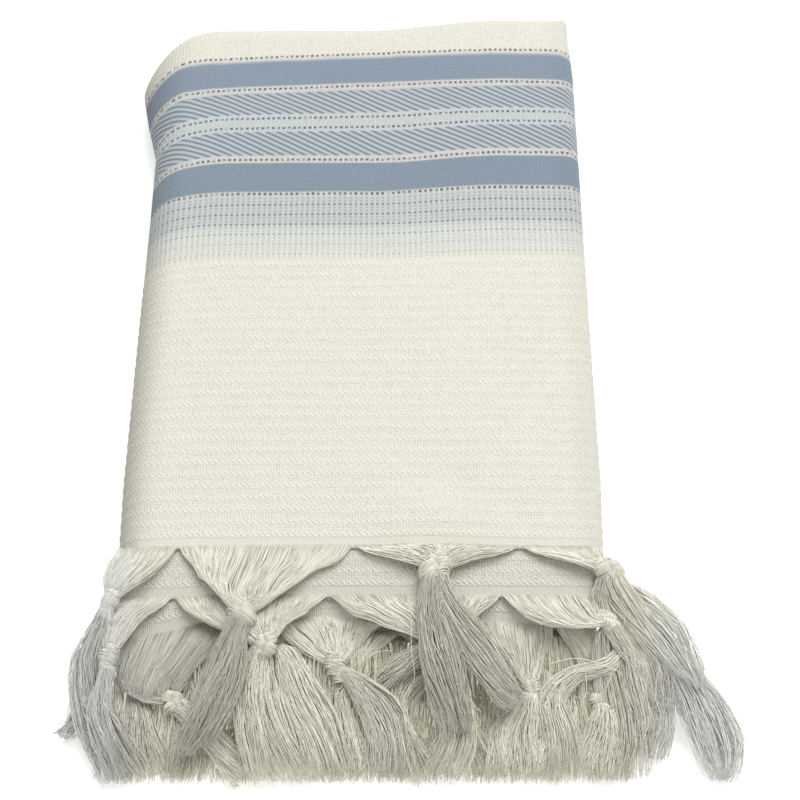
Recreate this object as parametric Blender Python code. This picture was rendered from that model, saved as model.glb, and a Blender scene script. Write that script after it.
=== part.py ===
"""A tallit prayer shawl, folded to a stack, with its knotted fringe laid out at the front.

Metres, +Z up. +Y runs from the fringed front to the back fold, +X across the stack.
The origin is in the middle of the stack's underside, on the surface that it lies on.
The tables below measure y from the top sheet's hem; the objects are moved at the end.
"""

import math
from collections import namedtuple

import bmesh
import bpy
from mathutils import Vector

MM = 0.001
HEM_TO_ORIGIN = 210 * MM

# The cloth
CLOTH = 2.2 * MM
SEAM = 0.3 * MM  # between two pieces that touch
RIB_PITCH = 9.24 * MM
RIB_HEIGHT = 0.8 * MM
RIB_COUNT = 31  # on the top sheet, between its hem band and the woven stripes
HEM_BAND = 10 * MM  # plain weave between a hem's edge and the first rib

# The stack: one row for each section across it, in millimetres. along: distance from the
# hem; left, right: outermost edges; top: height of the middle; round: how far in the left
# fold starts to turn; pull: how far it draws the weave towards the hem; push: how far the
# weave on the right lies further back.
Section = namedtuple("Section", "along left right top round pull push")
SECTIONS = [
    Section(*(size * MM for size in sizes))
    for sizes in (
        (-60, -157, 157, 47, 16, 2, 0),
        (0, -165, 161, 47, 16, 2, 0),
        (60, -166, 162, 50, 17, 3, 0),
        (180, -165, 161, 52, 20, 5, 2),
        (300, -164, 161, 52, 24, 12, 7),
        (370, -164, 161, 52, 28, 19, 9),
        (415, -172, 161, 51, 33, 30, 11),
        (455, -178, 159, 50, 36, 40, 12),
    )
]
BACK_ROUND = 25 * MM  # how far the back fold stands out from the last section
RIGHT_ROUND = 12 * MM  # radius of the right fold, which wraps the upper half of the stack
PULL_REACH = 60 * MM
PUSH_REACH = 105 * MM
CROWN = 2 * MM  # how much the middle stands above the sides
LEFT_CORNER, RIGHT_CORNER = 2.5, 6  # how squarely the back fold meets each side fold

# The soft hump over the knot that is pushed under the hem's middle
Hump = namedtuple("Hump", "across along half_width half_depth height")
HUMP = Hump(*(size * MM for size in (48, 20, 62, 34, 4)))

# Where a sheet has points: across the flat of the stack, and round each fold in degrees
FLAT_COLUMNS = [size * MM for size in (-125, -78, -30, 12, 48, 84, 120)]
LAST_TURN = 150
PAST_LAST = 0.25  # how much of what a corner's two turns add past the last one still counts
LEFT_TURNS = (LAST_TURN, 125, 100, 75, 50, 25)
RIGHT_TURNS = (30, 60, 90, 120, LAST_TURN)
BACK_TURNS = (25, 50, 75, 100, 125, LAST_TURN)
HUMP_ROWS = [HEM_BAND + RIB_PITCH * step for step in range(6)]
STRIPE_ROWS = [size * MM for size in (300, 335, 370, 415)]
BACK_ROWS = [size * MM for size in (100, 180, 300, 370, 415)]

# The two lower sheets that stand out below the hem, in millimetres. hem: its edge; open_to:
# where the sheet above covers it; half: half its width in the open; below: its top under
# the top sheet's; drop: how far its hem hangs down.
LowerSheet = namedtuple("LowerSheet", "name hem open_to half below drop")
LOWER_SHEETS = [
    LowerSheet("second_sheet", -35 * MM, 0, 154 * MM, 2.5 * MM, 3.6 * MM),
    LowerSheet("third_sheet", -57 * MM, -35 * MM, 150 * MM, 5 * MM, 10 * MM),
]
TUCKED_LEFT = -134 * MM  # a lower sheet's side edges between the folds
TUCKED_RIGHT = 145 * MM
TUCKED_BACK = 440 * MM

# The hidden layers
CORE_BELOW = 8.1 * MM  # top of the hidden layers under the top sheet's
CORE_INSET = CLOTH + 1.5 * MM  # inside the top sheet's folds
CORE_CLEAR = 1 * MM  # between it and the right fold
CORE_ROWS = [size * MM for size in (-26, -10, 5, 20, 35, 54)]
CORE_FRONT = -49 * MM
CORE_CORNER = 12 * MM
FOLDS_END = 12 * MM  # the lower folds' side edges draw in before the back fold, from
FOLDS_FADE = 30 * MM  # this far in front of that
CORE_FOOT = 0.2  # how far the flat underside reaches into the folds, of their round
FOLD_GROOVE = 8 * MM  # how deep the gap is between two rounded folds
LOWER_FOLDS = 2
FOLD_LEVELS = (-1, -0.7, 0, 0.7)  # from the bottom of a fold towards its top at 1
UPPER_LEVELS = (0, 0.26, 0.5, 0.76, 1)
UPPER_FRONT = [size * MM for size in (9, 3, 4, 6, 11)]  # set back, one for each level

# The fringe. A tassel gathers a stretch of hem into a knot, and its tail parts into locks.
LOCKS_ACROSS = 6  # in the upper and again in the lower half of a tail
LOCK_STEPS = (0.35, 0.7, 1.0)
LOCK_FILL = 0.84  # how much of its place in the row a lock fills
LOCK_TIP = 0.45  # size of a lock's tip beside its middle
LOCK_RAGGED = 0.13  # how much shorter than the tail the shortest lock is
LOCK_ROOT = 0.3 * MM  # a lock's root inside the edges of its wedge of the tail's head
STRIP_DEPTH = 1.6 * MM
STRIP_HALF = 0.9 * MM
KNOT_HALF_WIDTH = 9.5 * MM
KNOT_HALF_THICK = 7 * MM
KNOT_HALF_LENGTH = 9 * MM
NECK = 4.6 * MM
HEAD_HALF_WIDTH = 6 * MM
TAIL_HALF_THICK = 4.4 * MM
NECK_FLAT = 0.8
KNOT_SWELL = 0.42  # where the knot is thickest, from its middle towards its ends
WEB_RINGS = (0.4, 0.75)  # between the strip and the knot
PLEAT = 0.5 * MM
TAIL_OPENS = 1.3  # a tail is at its full width this many times sooner than at its tip
FLAT_RING, ROUND_RING = 8, 2  # powers of a ring's outline

# One row for each tassel, in millimetres. start, end: the stretch of hem that it gathers;
# knot, bend, tip: places as x y z; spread: half the width of its tail at the tip.
Tassel = namedtuple("Tassel", "name hem start end knot bend tip spread")
TASSELS = [
    Tassel(name, hem, start * MM, end * MM, *(Vector(place) * MM for place in places), spread * MM)
    for name, hem, start, end, *places, spread in (
        ("tassel_a1", "top", -162, -124, (-165, -40, 47), (-184, -76, 30), (-188, -124, 9), 12),
        ("tassel_a2", "top", -121, -8, (-80, -46, 49.5), (-98, -90, 41), (-119, -134, 31), 17),
        ("tassel_a3", "top", -5, 103, (46, -17, 52), (45, -74, 51), (56, -130, 34), 20),
        ("tassel_a4", "top", 106, 158, (162, -22, 48), (203, -64, 31), (238, -139, 8), 19),
        ("tassel_b1", "second", -152, -126, (-162, -76, 37), (-164, -110, 27), (-160, -150, 18), 14),
        ("tassel_b2", "second", -123, -24, (-62, -67, 39), (-68, -108, 28), (-80, -150, 18), 19),
        ("tassel_b3", "second", -21, 90, (47, -65, 38), (60, -106, 28), (70, -150, 18), 18),
        ("tassel_b4", "second", 93, 152, (161, -52, 40), (179, -90, 28), (181, -146, 18), 15),
        ("tassel_c1", "third", -148, -84, (-122, -98, 19), (-123, -126, 11), (-122, -152, 6), 13),
        ("tassel_c2", "third", -62, 16, (-14, -79, 22), (6, -113, 12), (24, -152, 6), 15),
        ("tassel_c3", "third", 66, 124, (109, -93, 19), (105, -124, 11), (100, -152, 6), 15),
        ("tassel_c4", "third", 127, 148, (148, -98, 18), (160, -126, 11), (168, -150, 6), 13),
        ("tassel_d1", "fold", -148, -118, (-148, -74, 10), (-150, -110, 7), (-152, -149, 6), 13),
        ("tassel_d2", "fold", -115, -78, (-92, -74, 10), (-90, -112, 7), (-90, -152, 6), 15),
        ("tassel_d3", "fold", -75, -38, (-56, -74, 10), (-56, -112, 7), (-52, -152, 6), 15),
        ("tassel_d4", "fold", -35, 20, (-26, -78, 9), (-24, -114, 7), (-14, -152, 6), 15),
        ("tassel_d5", "fold", 23, 78, (56, -74, 10), (58, -112, 7), (62, -152, 6), 15),
        ("tassel_d6", "fold", 81, 146, (132, -72, 10), (130, -110, 7), (134, -152, 6), 14),
    )
]
FOLD_HEM_HEIGHT = 5.5 * MM  # where the fringe of the hidden layers starts

CLOTH_COLOUR = (0.84, 0.84, 0.76)
FRINGE_COLOUR = (0.86, 0.86, 0.8)


def section_at(along):
    """The section of the stack at a distance from the hem, between two rows of the table."""
    along = min(max(along, SECTIONS[0].along), SECTIONS[-1].along)
    for before, after in zip(SECTIONS, SECTIONS[1:]):
        if along <= after.along:
            part = (along - before.along) / (after.along - before.along)
            return Section(*(a + (b - a) * part for a, b in zip(before, after)))
    return SECTIONS[-1]


def top_height(across, along):
    """Height of the top sheet's upper face over its flat."""
    hump = 1 - ((across - HUMP.across) / HUMP.half_width) ** 2
    hump -= ((along - HUMP.along) / HUMP.half_depth) ** 2
    section = section_at(along)
    height = section.top - CROWN * (across / section.right) ** 2
    return height + HUMP.height * max(hump, 0) ** 2


def weave_shift(across, along):
    """How far back the weave lies at a place: drawn forward on the left, back on the right."""
    section = section_at(along)
    near_left = max(1 - (across - section.left) / PULL_REACH, 0)
    ramp = min(max(across / PUSH_REACH, 0), 1)
    return section.push * ramp * ramp * (3 - 2 * ramp) - section.pull * near_left**2


def shifted(across, along, height):
    return Vector((across, along + weave_shift(across, along), height))


def wrapped(side, across, along, turn, back_turn, depth):
    """A point of a sheet round the stack, at a depth under the top sheet's outer face.

    side is -1, 0 or 1 for the left fold, the flat or the right fold. turn and back_turn are
    the degrees that the sheet has turned over the side fold and over the back fold.
    """
    section = section_at(along)
    if side < 0:
        across = section.left + section.round
    elif side > 0:
        across = section.right - RIGHT_ROUND
    top = top_height(across, along)
    if not turn and not back_turn:
        return shifted(across, along, top - depth)
    power = RIGHT_CORNER if side > 0 else LEFT_CORNER
    both = (turn**power + back_turn**power) ** (1 / power)
    side_share = (turn / both) ** power
    side_radius = RIGHT_ROUND if side > 0 else top / 2
    radius = side_radius * side_share + top / 2 * (1 - side_share)
    side_round = RIGHT_ROUND if side > 0 else section.round
    angle = math.radians(min(both, LAST_TURN + (both - LAST_TURN) * PAST_LAST))
    across += side * (side_round - depth) * math.sin(angle) * turn / both
    behind = (BACK_ROUND - depth) * math.sin(angle) * back_turn / both
    height = top - radius + (radius - depth) * math.cos(angle)
    point = shifted(across, along, height)
    point.y += behind
    return point


def join_edges(mesh, first, second):
    """Faces between two lines of vertices that start and end side by side."""
    one = other = 0
    while one < len(first) - 1 or other < len(second) - 1:
        step_one = (one + 1) / (len(first) - 1)
        step_other = (other + 1) / (len(second) - 1)
        if abs(step_one - step_other) < 1e-6:
            mesh.faces.new((first[one], first[one + 1], second[other + 1], second[other]))
            one += 1
            other += 1
        elif step_one < step_other:
            mesh.faces.new((first[one], first[one + 1], second[other]))
            one += 1
        else:
            mesh.faces.new((first[one], second[other + 1], second[other]))
            other += 1


def add_grid(mesh, rows):
    """A grid of vertices and quads, from rows of points."""
    grid = [[mesh.verts.new(point) for point in row] for row in rows]
    for row, following in zip(grid, grid[1:]):
        for column in range(len(row) - 1):
            mesh.faces.new((row[column], row[column + 1], following[column + 1], following[column]))
    return grid


def cloth_wall(name, outer_rows, inner_rows, colour):
    """A closed wall of cloth between an outer and an inner grid of points."""
    mesh = bmesh.new()
    outer = add_grid(mesh, outer_rows)
    inner = add_grid(mesh, inner_rows)
    join_edges(mesh, outer[0], inner[0])
    join_edges(mesh, outer[-1], inner[-1])
    join_edges(mesh, [row[0] for row in outer], [row[0] for row in inner])
    join_edges(mesh, [row[-1] for row in outer], [row[-1] for row in inner])
    return finish(name, mesh, colour)


def finish(name, mesh, colour):
    """An object at its place over the origin, from a closed mesh."""
    bmesh.ops.translate(mesh, verts=mesh.verts, vec=(0, -HEM_TO_ORIGIN, 0))
    bmesh.ops.recalc_face_normals(mesh, faces=mesh.faces)
    data = bpy.data.meshes.new(name)
    mesh.to_mesh(data)
    mesh.free()
    data.shade_smooth()
    data.set_sharp_from_angle(angle=math.radians(50))
    material = bpy.data.materials.new(name)
    material.use_nodes = True
    shader = material.node_tree.nodes["Principled BSDF"]
    shader.inputs["Base Color"].default_value = (*colour, 1)
    shader.inputs["Roughness"].default_value = 0.9
    data.materials.append(material)
    piece = bpy.data.objects.new(name, data)
    bpy.context.scene.collection.objects.link(piece)
    return piece


def rib_rows(start, count):
    """Rows over a run of ribs, each with its height: a crest, and the trough after it."""
    rows = []
    for rib in range(count):
        rows.append((start + (rib + 0.5) * RIB_PITCH, RIB_HEIGHT))
        rows.append((start + (rib + 1) * RIB_PITCH, 0))
    return rows


def top_sheet():
    """The sheet that shows: round the left and back folds, and round the upper right one."""
    columns = [(-1, 0, turn) for turn in LEFT_TURNS] + [(-1, 0, 0)]
    columns += [(0, across, 0) for across in FLAT_COLUMNS]
    columns += [(1, 0, 0)] + [(1, 0, turn) for turn in RIGHT_TURNS]
    rows = [(0, 0, 0), (HEM_BAND, 0, 0)]
    rows += [(along, 0, raised) for along, raised in rib_rows(HEM_BAND, RIB_COUNT)]
    rows += [(along, 0, 0) for along in STRIPE_ROWS]
    rows += [(SECTIONS[-1].along, turn, 0) for turn in (0, *BACK_TURNS)]
    outer = [
        [wrapped(side, across, along, turn, back, -raised) for side, across, turn in columns]
        for along, back, raised in rows
    ]
    inner = [
        [wrapped(side, across, along, turn, back, CLOTH) for side, across, turn in columns]
        for along, back, raised in rows
        if not raised
    ]
    return cloth_wall("top_sheet", outer, inner, CLOTH_COLOUR)


def hanging(sheet, along):
    """How far a lower sheet hangs down at a place in front of the hem."""
    return sheet.drop * (min(along, 0) / sheet.hem) ** 2


def lower_top(sheet, across, along):
    """Height of a lower sheet's upper face."""
    return top_height(across, along) - sheet.below - hanging(sheet, along)


def lower_sheet(sheet):
    """A sheet under the top one, flat between the folds, whose hem stands out at the front."""
    ribs = int((sheet.open_to - sheet.hem - HEM_BAND) / RIB_PITCH)
    rows = [(sheet.hem, 0), (sheet.hem + HEM_BAND, 0)]
    rows += rib_rows(sheet.hem + HEM_BAND, ribs)
    rows += [(along, 0) for along in (sheet.open_to, 0) if along > rows[-1][0]]
    rows += [(along, 0) for along in (*HUMP_ROWS, *BACK_ROWS, TUCKED_BACK)]
    outer, inner = [], []
    for along, raised in rows:
        tuck = min(max(along / HUMP_ROWS[0] + 0.5, 0), 1)
        left = TUCKED_LEFT * tuck - sheet.half * (1 - tuck)
        right = TUCKED_RIGHT * tuck + sheet.half * (1 - tuck)
        line = [(across, lower_top(sheet, across, along)) for across in (left, *FLAT_COLUMNS, right)]
        outer.append([shifted(across, along, height + raised) for across, height in line])
        if not raised:
            inner.append([shifted(across, along, height - CLOTH) for across, height in line])
    return cloth_wall(sheet.name, outer, inner, CLOTH_COLOUR)


def bulge(level):
    """How far in a rounded fold's face is at a level from -1 at its bottom to 1 at its top."""
    return FOLD_GROOVE * (1 - math.sqrt(1 - level * level))


def folded_core():
    """The hidden layers as one rounded solid: a block of points with a place for each."""
    third = LOWER_SHEETS[-1]
    lower_levels = [
        (fold + (level + 1) / 2) / LOWER_FOLDS for fold in range(LOWER_FOLDS) for level in FOLD_LEVELS
    ]
    lower_insets = [bulge(level) for level in FOLD_LEVELS] * LOWER_FOLDS
    levels = [(part, None, inset) for part, inset in zip(lower_levels, lower_insets)]
    levels += [(None, part, inset) for part, inset in zip(UPPER_LEVELS, UPPER_FRONT)]
    inner_rows = CORE_ROWS + BACK_ROWS
    counts = (len(FLAT_COLUMNS) + 3, len(inner_rows) + 3, len(levels) - 1)

    def place(column, row, level):
        lower, upper, inset = levels[level]
        back_line = SECTIONS[-1].along
        front = CORE_FRONT + inset
        along = [front, front + CORE_CORNER, *inner_rows, back_line, back_line][row]
        section = section_at(along)
        middle = top_height(0, along)

        # heights: the lower folds end below the right fold of the top sheet
        split = middle - 2 * RIGHT_ROUND - CORE_CLEAR
        if lower is None:
            nominal = split + upper * (middle - CORE_BELOW - split)
        else:
            nominal = lower * split

        # the left and back faces follow the top sheet's folds
        half = middle / 2
        turned = min(max((nominal - half) / (half - CORE_INSET), -1), 1)
        out = max(math.sqrt(1 - turned * turned), CORE_FOOT)
        to_back = (BACK_ROUND - CORE_INSET) * out
        to_left = (section.round - CORE_INSET) * out
        if lower is None:
            fold_radius = RIGHT_ROUND - CLOTH - CORE_CLEAR
            from_axis = min(abs(nominal - middle + RIGHT_ROUND), fold_radius)
            to_right = math.sqrt(fold_radius**2 - from_axis**2)
        else:
            reach = min(max((back_line - FOLDS_END - along) / FOLDS_FADE, 0), 1)
            to_right = (RIGHT_ROUND - CORE_CLEAR) * reach - inset

        # where two faces meet, the corner's middle point lies on its curve
        at_left, at_right = column == 0, column == counts[0]
        at_front, at_back = row == 0, row == counts[1]
        power = RIGHT_CORNER if at_right else LEFT_CORNER
        share = 0.5 ** (1 / power) if (at_left or at_right) and (at_front or at_back) else 1
        left, right = section.left + section.round, section.right - RIGHT_ROUND
        across = [left, left, *FLAT_COLUMNS, right, right][column]
        across += (at_right * to_right - at_left * to_left) * share
        along += at_back * to_back * share + at_front * CORE_CORNER * (1 - share)

        top = top_height(across, along) - CORE_BELOW - hanging(third, along)
        height = lower * split if upper is None else split + upper * (top - split)
        return shifted(across, along, height)

    mesh = bmesh.new()
    vertices = {}

    def corner(key):
        if key not in vertices:
            vertices[key] = mesh.verts.new(place(*key))
        return vertices[key]

    for axis in range(3):
        second, third_axis = (axis + 1) % 3, (axis + 2) % 3
        for end in (0, counts[axis]):
            for one in range(counts[second]):
                for other in range(counts[third_axis]):
                    keys = []
                    for step in ((0, 0), (1, 0), (1, 1), (0, 1)):
                        key = [end] * 3
                        key[second] = one + step[0]
                        key[third_axis] = other + step[1]
                        keys.append(tuple(key))
                    mesh.faces.new([corner(key) for key in keys])
    return finish("folded_layers", mesh, CLOTH_COLOUR)


def outline(power):
    """A ring of points as (sideways, up): over the top from left to right, and back below."""
    steps = [-1 + step / (LOCKS_ACROSS / 2) for step in range(LOCKS_ACROSS + 1)]
    upper = [(side, max(1 - abs(side) ** power, 0) ** (1 / power)) for side in steps]
    return upper + [(side, -up) for side, up in reversed(upper[1:-1])]


def hem_point(hem, across):
    """The middle of a hem's cut edge."""
    if hem == "top":
        return shifted(across, 0, top_height(across, 0) - CLOTH / 2)
    if hem == "fold":
        return shifted(across, CORE_FRONT, FOLD_HEM_HEIGHT)
    sheet = LOWER_SHEETS[("second", "third").index(hem)]
    return shifted(across, sheet.hem, lower_top(sheet, across, sheet.hem) - CLOTH / 2)


def ring_at(centre, forward, half_width, half_thick, power):
    """A ring of points round a tassel, square to the way it runs."""
    sideways = forward.cross(Vector((0, 0, 1))).normalized() * -1
    up = sideways.cross(forward).normalized() * -1
    if up.z < 0:
        up.negate()
    return [centre + sideways * side * half_width + up * rise * half_thick for side, rise in outline(power)]


def tassel(number, piece):
    """A strip along the hem, its threads drawn to a knot, and a tail of separate locks."""
    start, end = hem_point(piece.hem, piece.start), hem_point(piece.hem, piece.end)
    into_knot = (piece.knot - (start + end) / 2).normalized()
    out_of_knot = (piece.bend - piece.knot).normalized()
    through = (into_knot + out_of_knot).normalized()

    strips = []
    for gap in (SEAM, SEAM + STRIP_DEPTH):
        strip = []
        for side, rise in outline(FLAT_RING):
            point = hem_point(piece.hem, piece.start + (piece.end - piece.start) * (side + 1) / 2)
            strip.append(point + Vector((0, -gap, rise * STRIP_HALF)))
        strips.append(strip)
    neck_centre = piece.knot - through * KNOT_HALF_LENGTH
    head_centre = piece.knot + through * KNOT_HALF_LENGTH
    neck = ring_at(neck_centre, into_knot, NECK, NECK * NECK_FLAT, ROUND_RING)
    web = []
    for part in WEB_RINGS:
        ring = [before.lerp(after, part) for before, after in zip(strips[1], neck)]
        for point, (corner, (side, rise)) in enumerate(zip(ring, outline(FLAT_RING))):
            corner.z += PLEAT * rise * (point % 2)
        web.append(ring)
    swell = through * KNOT_HALF_LENGTH * KNOT_SWELL
    knot = [
        ring_at(piece.knot + step, through, KNOT_HALF_WIDTH, KNOT_HALF_THICK, ROUND_RING)
        for step in (-swell, swell)
    ]
    head = ring_at(head_centre, out_of_knot, HEAD_HALF_WIDTH, TAIL_HALF_THICK, ROUND_RING)
    rings = [*strips, *web, neck, *knot, head]

    mesh = bmesh.new()
    loops = [[mesh.verts.new(point) for point in ring] for ring in rings]
    count = len(loops[0])
    for loop, following in zip(loops, loops[1:]):
        for point in range(count):
            after = (point + 1) % count
            mesh.faces.new((loop[point], loop[after], following[after], following[point]))
    first = loops[0]
    for point in range(LOCKS_ACROSS):
        corners = [first[point], first[point + 1], first[-point - 1], first[-point % count]]
        mesh.faces.new(list(dict.fromkeys(corners)))
    middle = mesh.verts.new(head_centre)
    wedges = [
        mesh.faces.new((middle, loops[-1][point], loops[-1][(point + 1) % count]))
        for point in range(count)
    ]
    mesh.normal_update()
    bmesh.ops.inset_individual(mesh, faces=wedges, thickness=LOCK_ROOT)
    grow_locks(mesh, wedges, number, piece, head_centre, out_of_knot)
    return finish(piece.name, mesh, FRINGE_COLOUR)


def grow_locks(mesh, wedges, number, piece, head_centre, forward):
    """Each wedge of the head, drawn out along the tail as a three-sided lock."""
    passing = piece.bend * 2 - (head_centre + piece.tip) / 2
    half_count = len(wedges) // 2
    for index, wedge in enumerate(wedges):
        upper = index < half_count
        row_place = index if upper else len(wedges) - 1 - index
        side = -1 + (row_place + 0.5) * 2 / half_count
        length = 1 - LOCK_RAGGED * ((index * 5 + number * 3) % 7) / 6
        face = wedge
        for step in LOCK_STEPS:
            part = step * length
            centre = head_centre * (1 - part) ** 2 + passing * 2 * part * (1 - part)
            centre += piece.tip * part**2
            way = (passing - head_centre) * (1 - part) + (piece.tip - passing) * part
            sideways = way.cross(Vector((0, 0, 1))).normalized() * -1
            spread = HEAD_HALF_WIDTH + (piece.spread - HEAD_HALF_WIDTH) * min(part * TAIL_OPENS, 1)
            size = LOCK_TIP if step == 1 else 1
            half_width = spread / half_count * LOCK_FILL * size
            rise = TAIL_HALF_THICK * size * (1 if upper else -1)
            centre += sideways * side * spread
            near = Vector((0, 0, LOCK_ROOT if upper else -LOCK_ROOT))
            corners = [
                centre + near - sideways * half_width,
                centre + near + sideways * half_width,
                centre + near + Vector((0, 0, rise)),
            ]
            if upper:
                corners = [corners[0], corners[2], corners[1]]
            made = bmesh.ops.extrude_discrete_faces(mesh, faces=[face])["faces"]
            face = made[0]
            for loop, corner in zip(face.loops, corners):
                loop.vert.co = corner


for old in list(bpy.data.objects):
    bpy.data.objects.remove(old)

top_sheet()
for lower in LOWER_SHEETS:
    lower_sheet(lower)
folded_core()
for number, piece in enumerate(TASSELS):
    tassel(number, piece)
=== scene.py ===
import math
import random

import bmesh
import bpy
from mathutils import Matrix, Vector, noise


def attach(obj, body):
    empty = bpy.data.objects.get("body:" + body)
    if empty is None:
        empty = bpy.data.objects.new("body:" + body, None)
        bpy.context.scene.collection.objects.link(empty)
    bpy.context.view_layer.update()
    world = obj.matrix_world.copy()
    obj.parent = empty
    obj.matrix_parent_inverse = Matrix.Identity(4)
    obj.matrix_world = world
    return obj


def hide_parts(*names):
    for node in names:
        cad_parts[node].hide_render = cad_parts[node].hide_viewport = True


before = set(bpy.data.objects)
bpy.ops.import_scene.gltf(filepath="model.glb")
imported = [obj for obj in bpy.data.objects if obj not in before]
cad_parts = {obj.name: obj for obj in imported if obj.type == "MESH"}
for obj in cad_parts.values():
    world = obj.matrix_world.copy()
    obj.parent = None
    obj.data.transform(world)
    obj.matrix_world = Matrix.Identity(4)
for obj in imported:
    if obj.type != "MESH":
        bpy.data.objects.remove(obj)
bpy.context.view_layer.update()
chance = random.Random(7)
noise.seed_set(7)
almostAll = 0.9999  # a share that still lies in the last step

# the stack that every piece follows
stack = {
    "hemToOrigin": 210,
    # along, left, right, top, round of the left fold, pull of the threads at the left, push at the right
    "sections": (
        (-60, -157, 157, 47, 16, 2, 0),
        (0, -165, 161, 47, 16, 2, 0),
        (60, -166, 162, 50, 17, 3, 0),
        (180, -165, 161, 52, 20, 5, 2),
        (300, -164, 161, 52, 24, 12, 7),
        (370, -164, 161, 52, 28, 19, 9),
        (415, -172, 161, 51, 33, 30, 11),
        (455, -178, 159, 50, 36, 40, 12),
    ),
    "backLine": 455,
    "backRound": 25,
    "rightRound": 12,
    "pullReach": 60,
    "pushReach": 105,
    "crown": 2,
    "leftCorner": 1.8,
    "rightCorner": 6,
    "lastTurn": 150,
    "pastLast": 0.25,
    "hump": {"across": 48, "along": 20, "halfWidth": 62, "halfDepth": 34, "height": 4},
    # where the stripes lie beside the section's own lines, once they are drawn askew
    "drift": (
        (-176, 0), (-160, 0.6), (-150, 0.8), (-143, -0.6), (-137, -2.4), (-128, -4.2), (-115, -5.2), (-75, -3.2),
        (0, 0), (25, 0), (55, -3), (85, -6), (139, -6.2), (165, -8),
    ),
    "driftFrom": 330,
    "driftTo": 430,
}


def stepped(value, low, high):
    part = min(max((value - low) / (high - low), 0), 1)
    return part * part * (3 - 2 * part)


def along(table, place):
    # a value between two rows of a table of pairs
    place = min(max(place, table[0][0]), table[-1][0])
    for before, after in zip(table, table[1:]):
        if place <= after[0]:
            part = (place - before[0]) / (after[0] - before[0])
            return before[1] + (after[1] - before[1]) * part


def sectionAt(y):
    rows = stack["sections"]
    y = min(max(y, rows[0][0]), rows[-1][0])
    for before, after in zip(rows, rows[1:]):
        if y <= after[0]:
            part = (y - before[0]) / (after[0] - before[0])
            return [a + (b - a) * part for a, b in zip(before, after)]


def topHeight(x, y):
    hump = stack["hump"]
    inside = 1 - ((x - hump["across"]) / hump["halfWidth"]) ** 2 - ((y - hump["along"]) / hump["halfDepth"]) ** 2
    _, _, right, top, *_ = sectionAt(y)
    return top - stack["crown"] * (x / right) ** 2 + hump["height"] * max(inside, 0) ** 2


def weaveShift(x, y):
    _, left, _, _, _, pull, push = sectionAt(y)
    nearLeft = max(1 - (x - left) / stack["pullReach"], 0)
    return push * stepped(x, 0, stack["pushReach"]) - pull * nearLeft**2


def drift(x, y):
    return along(stack["drift"], x) * stepped(y, stack["driftFrom"], stack["driftTo"])


def shifted(x, y, z):
    return Vector((x, y + weaveShift(x, y), z))


def wrapped(side, x, y, turn, backTurn, depth):
    # a point of a sheet round the stack, at a depth under its outer face; turns are in degrees
    _, left, right, _, leftRound, *_ = sectionAt(y)
    if side < 0:
        x = left + leftRound
    elif side > 0:
        x = right - stack["rightRound"]
    top = topHeight(x, y)
    if not turn and not backTurn:
        return shifted(x, y, top - depth)
    power = stack["rightCorner"] if side > 0 else stack["leftCorner"]
    both = (turn**power + backTurn**power) ** (1 / power)
    sideShare = (turn / both) ** power
    sideRadius = stack["rightRound"] if side > 0 else top / 2
    radius = sideRadius * sideShare + top / 2 * (1 - sideShare)
    sideRound = stack["rightRound"] if side > 0 else leftRound
    last = stack["lastTurn"]
    angle = math.radians(min(both, last + (both - last) * stack["pastLast"]))
    x += side * (sideRound - depth) * math.sin(angle) * turn / both
    behind = (stack["backRound"] - depth) * math.sin(angle) * backTurn / both
    point = shifted(x, y, top - radius + (radius - depth) * math.cos(angle))
    point.y += behind
    return point


# sums and nodes for the finishes
class Wire:
    # a node's output, for use in sums
    def __init__(self, finish, socket):
        self.finish, self.socket = finish, socket

    def maths(self, operation, *values):
        return self.finish.node("ShaderNodeMath", {"operation": operation}, dict(enumerate(values)))

    def __add__(self, other):
        return self.maths("ADD", self, other)

    def __radd__(self, other):
        return self.maths("ADD", other, self)

    def __sub__(self, other):
        return self.maths("SUBTRACT", self, other)

    def __rsub__(self, other):
        return self.maths("SUBTRACT", other, self)

    def __mul__(self, other):
        return self.maths("MULTIPLY", self, other)

    def __rmul__(self, other):
        return self.maths("MULTIPLY", other, self)

    def __truediv__(self, other):
        return self.maths("DIVIDE", self, other)

    def __pow__(self, other):
        return self.maths("POWER", self, other)

    def wave(self, pitch):
        # 0 to 1 and back once in each pitch
        return 0.5 + 0.5 * self.maths("COSINE", self * (2 * math.pi / pitch))

    def offset(self, pitch, start):
        # distance from the nearest of the lines that lie a pitch apart
        return (self.maths("FRACT", (self - start) / pitch + 0.5) - 0.5) * pitch

    def hill(self, half):
        # 1 at zero, down to 0 at half on either side
        return self.maths("MAXIMUM", 1 - (self / half) ** 2, 0)

    def above(self, low, high):
        # 0 below low, 1 above high
        ends = {"Value": self, "From Min": low, "From Max": high}
        return self.finish.node("ShaderNodeMapRange", {"interpolation_type": "SMOOTHSTEP"}, ends)

    def within(self, low, high, soft):
        return self.above(low - soft, low + soft) * (1 - self.above(high - soft, high + soft))


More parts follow.
